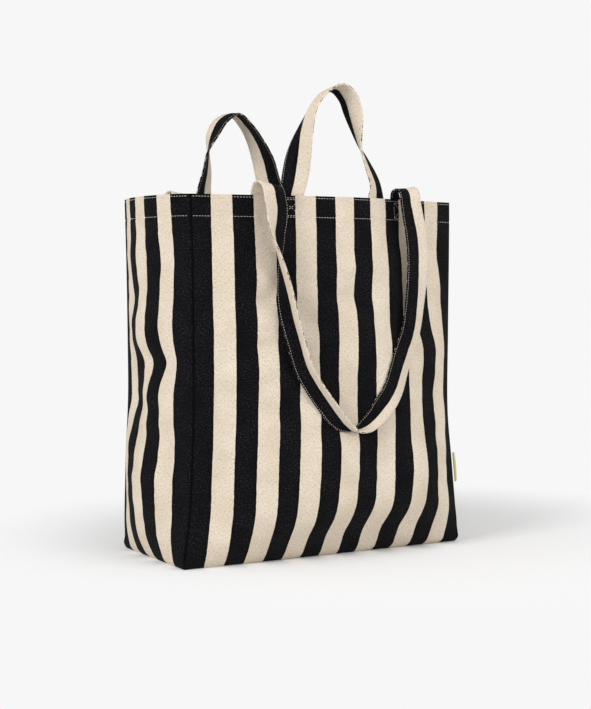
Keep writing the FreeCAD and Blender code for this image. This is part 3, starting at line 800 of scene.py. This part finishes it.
def build_base():
    """The cloth that the bag stands on, with its two side seams."""
    s = np.linspace(0, 1, BASE_COLUMNS)
    t = np.linspace(0, 1, BASE_ROWS)
    feet = [WALLS[side].points[0] for side in (FRONT, BACK)]
    front, back = (foot[np.linspace(0, len(foot) - 1, BASE_COLUMNS).astype(int)] for foot in feet)
    points = front[None] * (1 - t)[:, None, None] + back[None] * t[:, None, None]
    centre = points.mean(axis=(0, 1))
    points[..., :2] = centre[:2] + (points[..., :2] - centre[:2]) * BASE_SHARE
    across, deep = s * WALL_CLOTH, t * BASE_DEPTH
    rise = np.array([[max(0.0, ripple(x, y, BASE_SEED)) for x in across] for y in deep])
    side_gap = np.minimum(s, 1 - s)[None, :] * WALL_CLOTH
    inset = np.minimum(side_gap, np.minimum(t, 1 - t)[:, None] * BASE_DEPTH)
    points[..., 2] = BASE_LOWEST + BASE_RISE * rise * smooth_step(0, BASE_STEADY, inset)
    thick = np.array([0, 0, CANVAS])
    cloth = np.stack(np.broadcast_arrays(across[None, :], t[:, None] * GUSSET_CLOTH), -1)
    base = shell("base_cloth", points, points + thick, cloth, [STRIPED, STRIPED_INSIDE, STRIPED])
    place(base, "root", "striped_canvas", "base_panel")
    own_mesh(base)
    for hand in (LEFT, RIGHT):
        build_base_seam(hand)


def build_base_seam(hand):
    """The seam allowance lying inside one end of the base."""
    y = np.linspace(*BASE_SEAM_Y, BASE_SEAM_ROWS)
    across = np.linspace(0, 1, BASE_SEAM_COLUMNS)
    x = hand * (BASE_SEAM_X - across * SEAM_ALLOWANCE)
    height = BASE_SEAM_HEIGHT + BASE_SEAM_WAVE * np.sin(y / BASE_SEAM_WAVE_LENGTH)[:, None]
    middle = np.stack(np.broadcast_arrays(x[None, :], y[:, None], height), -1)
    lift = np.array([0, 0, BASE_SEAM_HALF])
    cloth = np.stack(np.broadcast_arrays(across[None, :] * SEAM_ALLOWANCE + CANVAS, y[:, None]), -1)
    name = f"base_{HAND_NAME[hand]}_seam"
    strip = shell(f"{name}_allowance", middle + lift, middle - lift, cloth, [STRIPED] * 3)
    place(strip, "root", "seam_canvas", name)
    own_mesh(strip)


TAG_FOOT, TAG_TALL, TAG_REACH = 74.0, 34.0, 9.5
TAG_ROWS, TAG_COLUMNS = 24, 10
TAG_TILT, TAG_CURL, TAG_CURL_LENGTH = -0.74, 0.08, 11
TAG_SUNK, TAG_HALF = 0.6, 0.5


def build_tag():
    """A folded tape sewn into the front right corner seam."""
    z = np.linspace(TAG_FOOT, TAG_FOOT + TAG_TALL, TAG_ROWS)
    across = np.linspace(0, 1, TAG_COLUMNS)
    x, y = right_corner(z, FRONT)
    tilt = TAG_TILT + TAG_CURL * np.sin((z - TAG_FOOT) / TAG_CURL_LENGTH)
    out = np.stack([np.cos(tilt), -np.sin(tilt), 0 * z], 1)
    root = np.stack([x, y - TAG_SUNK, z], 1)
    middle = root[:, None, :] + out[:, None, :] * (across * TAG_REACH)[None, :, None]
    thick = np.stack([np.sin(tilt), np.cos(tilt), 0 * z], 1)[:, None, :] * TAG_HALF
    cloth = np.stack(np.broadcast_arrays(across[None, :] * TAG_REACH, z[:, None]), -1)
    tag = shell("side_tag_tape", middle - thick, middle + thick, cloth, [TAG] * 3)
    place(tag, "root", "tag_cloth", "side_tag")


# ---------------------------------------------------------------- handles and shoulder straps
# A strip runs through stations, drawn as on the front wall: x, height, y of its middle, and the angles in
# degrees at which its black and its natural half stand, from the direction across the strip toward the
# outside. A shoulder strap is drawn straight, before it bends over the hem. Its last value is how much of
# the natural half's width shows, as that half's free edge curls back where it stands off the wall.
HANDLE_BEND_LOW, HANDLE_BEND_TOP = HEIGHT - 1, 426.0
# A shoulder strap bends over the hem from this height, with this radius to its middle.
CREST_FOOT = 409.5
CREST_RADIUS = 11.9
CREST_RUN = math.pi * CREST_RADIUS
WALL_GAP, WALL_GAP_SOFTNESS = 1.6, 1.0
ROW_STEP = 2.2
ROOT_CLEAR = 0.8
SEWN_RISE, FREE_DROP = 3.0, 8.0
STITCH_SINK = 0.16
EDGE_SHY = 0.05

SHOULDER_STRAP = [
    (STRAP_LEFT_X, 471, -120, -12, 168, 1),
    (STRAP_LEFT_X, 447, -120, -11, 169, 1),
    (-93.5, 428, -120, -8, 169, 1),
    (-92.5, 410, -120, -8, 171, 1),
    (-90, 394, -120, -6, 168, 1),
    (-91, 381, -120, -4, 158, 1),
    (-93, 369, -120, -5, 137, 1),
    (-92, 359, -120, -15, 121, 0.98),
    (-87, 340, -120.5, -50, 106, 0.93),
    (-80, 317, -121, -90, 97, 0.87),
    (-74, 295, -121.5, -124, 93, 0.8),
    (-69.5, 275, -122, -148, 87, 0.74),
    (-63, 252, -123, -160, 84, 0.7),
    (-52, 217, -125.5, -160, 80, 0.66),
    (-41.5, 200, -126.5, -160, 75, 0.64),
    (-27.5, 181, -127, -160, 69, 0.63),
    (-14.5, 165, -127.2, -156, 65, 0.62),
    (-4, 154, -127.4, -128, 68, 0.62),
    (7.5, 147, -127.4, -90, 90, 0.62),
    (21, 149.5, -127.4, -58, 118, 0.64),
    (36, 159, -127.2, -42, 142, 0.67),
    (46, 169, -127.2, -28, 160, 0.72),
    (56, 180, -127, -16, 178, 0.78),
    (64, 192, -126.2, -14, 192, 0.86),
    (73, 214, -125, -18, 206, 1),
    (83, 237, -124, -18, 208, 1),
    (90, 253, -123, -14, 207, 1),
    (97, 290, -121.5, -10, 202, 1),
    (99.5, 328, -120.5, -3, 191, 1),
    (99.5, 351, -120, -4, 188, 1),
    (97.5, 369, -119.9, -4, 186, 1),
    (92, 391, -119.8, 2, 183, 1),
    (88, 409, -119.8, 8, 181, 1),
    (88.5, 428, -119.7, -4, 171, 1),
    (STRAP_RIGHT_X, 450, -119.7, -15, 165, 1),
    (STRAP_RIGHT_X, 473, -119.7, -15, 165, 1),
]
FRONT_HANDLE = [
    (HANDLE_LEFT_X, 386, -101.8, -10, 170),
    (HANDLE_LEFT_X + 1, 408, -102, -10, 170),
    (-58, 423, -102.5, -14, 168),
    (-52.5, 453.7, -104, -50, 128),
    (-49.5, 482, -106.5, -96, 116),
    (-43, 504, -108.5, -118, 98),
    (-24, 525.5, -109.5, -112, 88),
    (-5, 531, -109.5, -96, 74),
    (6, 520, -109, -86, 50),
    (12.5, 504, -108.8, -82, 50),
    (19.5, 486, -108, -72, 88),
    (27.5, 467, -107, -60, 119),
    (38, 447, -106, -44, 132),
    (50, 422, -104.6, -30, 146),
    (HANDLE_RIGHT_X, 405, -103.9, -17, 163),
    (HANDLE_RIGHT_X, 386, -103.9, -15.6, 164.4),
]
BACK_HANDLE = [
    (HANDLE_LEFT_X, 386, -100, -10, 170),
    (HANDLE_LEFT_X - 1, 406, -100, -12, 168),
    (-63.2, 425, -101, -32, 154),
    (-57.5, 450, -103.5, -46, 138),
    (-54.5, 470, -105.5, -58, 122),
    (-48.5, 495, -107, -100, 92),
    (-36.5, 514, -107.5, -108, 88),
    (-17.5, 522, -107.5, -94, 90),
    (0.5, 508, -107, -88, 95),
    (14.5, 489, -106.5, -82, 112),
    (23.5, 468, -105.5, -62, 132),
    (30.5, 438, -103.5, -36, 152),
    (HANDLE_RIGHT_X - 10, 412, -101.5, -5, 172),
    (HANDLE_RIGHT_X, 386, -101.5, 12, 192),
]


def strap_points(stations, offsets, side, over_hem):
    """A grid of points on the strip's middle surface: rows along it, columns at the offsets across it."""
    run = distance_along(np.array(stations)[:, :2])
    rows = np.append(np.arange(0, run[-1], ROW_STEP), run[-1])
    x, height, y, black_turn, natural_turn, *share = curve_through(run, stations, rows).T
    run_x, run_z = np.gradient(x, rows), np.gradient(height, rows)
    size = np.hypot(run_x, run_z)
    side_x, side_z = -run_z / size, run_x / size
    black = np.array(offsets)[None, :] < 0
    turn = np.radians(np.where(black, black_turn[:, None], natural_turn[:, None]))
    reach = np.abs(np.array(offsets))[None, :]
    if over_hem:
        reach = reach * np.where(black, 1.0, share[0][:, None])
    in_plane, outward = reach * np.cos(turn), reach * np.sin(turn)
    x = x[:, None] + side_x[:, None] * in_plane
    z = height[:, None] + side_z[:, None] * in_plane
    y = np.broadcast_to(y[:, None], x.shape)
    if over_hem:
        outside = height < CREST_FOOT - FREE_DROP
        y, z = wrap_over_hem(z, y, outward)
        y = np.where(outside[:, None], rest_on_wall(x, y, z, side), y)
    else:
        y = y - outward
    return np.stack([x, -side * y, z], -1), rows


def wrap_over_hem(height, y, outward):
    """The straight strip bent over the top of the hem and down inside it."""
    above = height - CREST_FOOT
    over = np.clip(above / CREST_RADIUS, 0, math.pi)
    z = np.minimum(height, CREST_FOOT) + (CREST_RADIUS + outward) * np.sin(over)
    z = z - np.maximum(0, above - CREST_RUN)
    return y + CREST_RADIUS - (CREST_RADIUS + outward) * np.cos(over), z


def rest_on_wall(x, y, z, side):
    """y with the strip lying on the wall wherever it would sink into it."""
    wall = WALLS[side].points
    rows = np.clip(np.rint(z / GRID_STEP).astype(int), 0, len(wall) - 1)
    places = zip(x.ravel(), rows.ravel())
    depth = np.array([np.interp(a, wall[row, :, 0], np.abs(wall[row, :, 1])) for a, row in places])
    spare = -y - depth.reshape(x.shape) - WALL_GAP
    return y - (np.hypot(spare, WALL_GAP_SOFTNESS) - spare) / 2


# Places across a strip, closer at its rounded edges, with its middle counted to the natural half, and the
# share of its thickness there.
OFFSETS = np.array([-15, -14.6, -13.4, -10, -6, -2.5, 0.0, 2.5, 6, 10, 13.4, 14.6, 15.0]) + 1e-6
EDGE_SHARE = np.interp(np.abs(OFFSETS), [0, 13.4, 14.6, 15], [1.0, 1.0, 0.72, 0.30])


def ribbon_piece(name, points, normals, rows, span):
    """One stretch of a strip as a closed, round-edged band of doubled cloth."""
    first, last = span
    part = points[first : last + 1]
    push = normals[first : last + 1] * (EDGE_SHARE * STRAP_THICK / 2)[None, :, None]
    across = np.clip(OFFSETS + STRAP_HALF, EDGE_SHY, STRAP_WIDTH - EDGE_SHY)[None, :]
    cloth = np.stack(np.broadcast_arrays(across, rows[first : last + 1][:, None]), -1)
    return shell(name, part + push, part - push, cloth, [STRAP] * 3)


def edge_stitches(name, points, normals, span):
    """Stitches close to both edges of a strip, on both of its faces."""
    first, last = span
    runs = []
    for column in (2, len(OFFSETS) - 3):
        for face in (1, -1):
            normal = normals[first : last + 1, column] * face
            line = points[first : last + 1, column] + normal * (STRAP_THICK / 2 - STITCH_SINK)
            runs.append((line, normal))
    return dashes(name, runs, width=0.38, length=1.9, pitch=3.0)


def ends_of(chosen):
    """The first and the last row that are chosen."""
    return int(np.argmax(chosen)), len(chosen) - 1 - int(np.argmax(chosen[::-1]))


def strip_cuts(points, side, over_hem):
    """The rows where the tails end and where the loop starts and ends, and the line the roots bend along."""
    middle = points[:, len(OFFSETS) // 2]
    depth, height = np.abs(middle[:, 1]), middle[:, 2]
    if over_hem:
        low = depth[0] + ROOT_CLEAR
        high = depth[0] + 2 * CREST_RADIUS - ROOT_CLEAR
        sewn = (depth < low) & (height < CREST_FOOT + SEWN_RISE)
        bend = ((0, side * low * MM, HEIGHT * MM), (0, side * high * MM, HEIGHT * MM))
        return ends_of(~sewn), ends_of(depth > high), bend
    bend = ((0, 0, HANDLE_BEND_LOW * MM), (0, 0, HANDLE_BEND_TOP * MM))
    return ends_of(height > HANDLE_BEND_LOW), ends_of(height > HANDLE_BEND_TOP), bend


def build_strap(side, kind, stations):
    """A strip from end to end: two tails in the hem, two roots and the free loop."""
    over_hem = kind == "shoulder_strap"
    wall, body, tag = SIDE_NAME[side], WALL_BODY[side], "strap" if over_hem else "handle"
    loop_body = f"{wall}_{tag}_loop"
    points, rows = strap_points(stations, OFFSETS, side, over_hem)
    normals = grid_normals(points)
    (tail_end, tail_start), (start, end), bend = strip_cuts(points, side, over_hem)
    spans = {
        "left_tail": (0, tail_end),
        "left_root": (tail_end, start),
        "loop": (start, end),
        "right_root": (end, tail_start),
        "right_tail": (tail_start, len(rows) - 1),
    }
    for part, span in spans.items():
        piece = ribbon_piece(f"{wall}_{kind}_{part}", points, normals, rows, span)
        if part == "loop":
            place(piece, loop_body, "strap_canvas", f"{wall}_{kind}")
        elif part.endswith("tail"):
            place(piece, body, "strap_canvas", f"{wall}_{tag}_tails")
        else:
            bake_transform(piece)
            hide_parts(f"{wall}_{tag}_roots")
    stitches = edge_stitches(f"{wall}_{kind}_stitches", points, normals, spans["loop"])
    place(stitches, loop_body, "thread", f"{wall}_{tag}_stitching")
    for hand in ("left", "right"):
        span = spans[f"{hand}_root"]
        more = edge_stitches(f"{wall}_{kind}_{hand}_root_stitches", points, normals, span)
        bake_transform(more)


# ---------------------------------------------------------------- camera, light and floor
CAMERA_PLACE = (-0.941, -1.563, 0.315)
CAMERA_DOWN, CAMERA_TURN = 2.73, -31.23
CAMERA_LENS, CAMERA_SENSOR = 77.74, 36.0

# Each lamp's name, place, size and power. All of them look at the middle of the bag.
LAMPS = [
    ("key", (-2.7, -0.95, 1.35), 1.0, 56),
    ("front", (1.1, -2.2, 1.0), 1.6, 27),
    ("top", (0.3, -0.6, 2.6), 1.8, 16),
]
LAMP_TARGET = Vector((0, 0, 0.2))
BACKDROP, SKY = 0.93, 0.46
FLOOR_SIZE, FLOOR_DROP = 60, 0.0004
FLOOR_SHADES = (0.89, 0.90)
FADE_CENTRE = (0.12, 0.03, 0)
FADE_FROM, FADE_TO = 0.20, 0.52


def grey(value):
    return (value, value, value, 1)


def build_camera():
    """The photograph's view of the bag."""
    data = bpy.data.cameras.new("camera")
    data.lens, data.sensor_width = CAMERA_LENS, CAMERA_SENSOR
    data.clip_start, data.clip_end = 0.05, 50
    camera = bpy.data.objects.new("camera", data)
    camera.location = CAMERA_PLACE
    camera.rotation_euler = (math.radians(90 - CAMERA_DOWN), 0, math.radians(CAMERA_TURN))
    bpy.context.scene.collection.objects.link(camera)
    bpy.context.scene.camera = camera


def build_world():
    """A soft sky, seen by the camera as an even, paler backdrop."""
    world = bpy.data.worlds.new("studio")
    world.use_nodes = True
    nodes, links = world.node_tree.nodes, world.node_tree.links
    backdrop = nodes.new("ShaderNodeBackground")
    backdrop.inputs[0].default_value = grey(BACKDROP)
    nodes["Background"].inputs[0].default_value = grey(SKY)
    path = nodes.new("ShaderNodeLightPath")
    chosen = nodes.new("ShaderNodeMixShader")
    links.new(path.outputs["Is Camera Ray"], chosen.inputs[0])
    links.new(nodes["Background"].outputs[0], chosen.inputs[1])
    links.new(backdrop.outputs[0], chosen.inputs[2])
    links.new(chosen.outputs[0], nodes["World Output"].inputs[0])
    bpy.context.scene.world = world
    bpy.context.scene.view_settings.view_transform = "Standard"


def build_lamps():
    """The soft square lamps."""
    for name, spot, size, power in LAMPS:
        data = bpy.data.lights.new(name, "AREA")
        data.shape, data.size, data.energy = "SQUARE", size, power
        lamp = bpy.data.objects.new(name, data)
        lamp.location = spot
        lamp.rotation_euler = (LAMP_TARGET - Vector(spot)).to_track_quat("-Z", "Y").to_euler()
        bpy.context.scene.collection.objects.link(lamp)


def build_floor():
    """A pale floor that fades into the backdrop away from the bag."""
    bpy.ops.mesh.primitive_plane_add(size=FLOOR_SIZE, location=(0, 0, -FLOOR_DROP))
    floor = bpy.context.object
    floor.name = "floor"
    recipe = Recipe("floor_paint")
    spot = recipe.add("ShaderNodeTexCoord").outputs["Object"]
    shade = recipe.mix(recipe.noise(spot, 3.0), *(grey(value) for value in FLOOR_SHADES))
    recipe.join(shade, recipe.shader.inputs["Base Color"])
    recipe.shader.inputs["Roughness"].default_value = 0.9
    recipe.shader.inputs["Specular IOR Level"].default_value = 0.0
    apart = recipe.add("ShaderNodeVectorMath", {"operation": "SUBTRACT"}, i0=spot, i1=FADE_CENTRE)
    distance = recipe.add("ShaderNodeVectorMath", {"operation": "LENGTH"}, i0=apart.outputs[0])
    fade = recipe.ramp(distance.outputs["Value"], FADE_FROM, FADE_TO)
    far = recipe.add("ShaderNodeEmission", Color=grey(BACKDROP))
    blend = recipe.add("ShaderNodeMixShader", i0=fade)
    recipe.join(recipe.shader.outputs[0], blend.inputs[1])
    recipe.join(far.outputs[0], blend.inputs[2])
    recipe.join(blend.outputs[0], recipe.tree.nodes["Material Output"].inputs[0])
    floor.data.materials.append(recipe.material)


# ---------------------------------------------------------------- everything built
build_camera()
build_world()
build_lamps()
build_floor()
for wall_side in (FRONT, BACK):
    build_wall(wall_side)
for gusset_hand in (LEFT, RIGHT):
    for wall_side in (FRONT, BACK):
        build_gusset_half(gusset_hand, wall_side)
build_base()
build_tag()
for wall_side in (FRONT, BACK):
    build_strap(wall_side, "shoulder_strap", SHOULDER_STRAP)
build_strap(FRONT, "handle", FRONT_HANDLE)
build_strap(BACK, "handle", BACK_HANDLE)
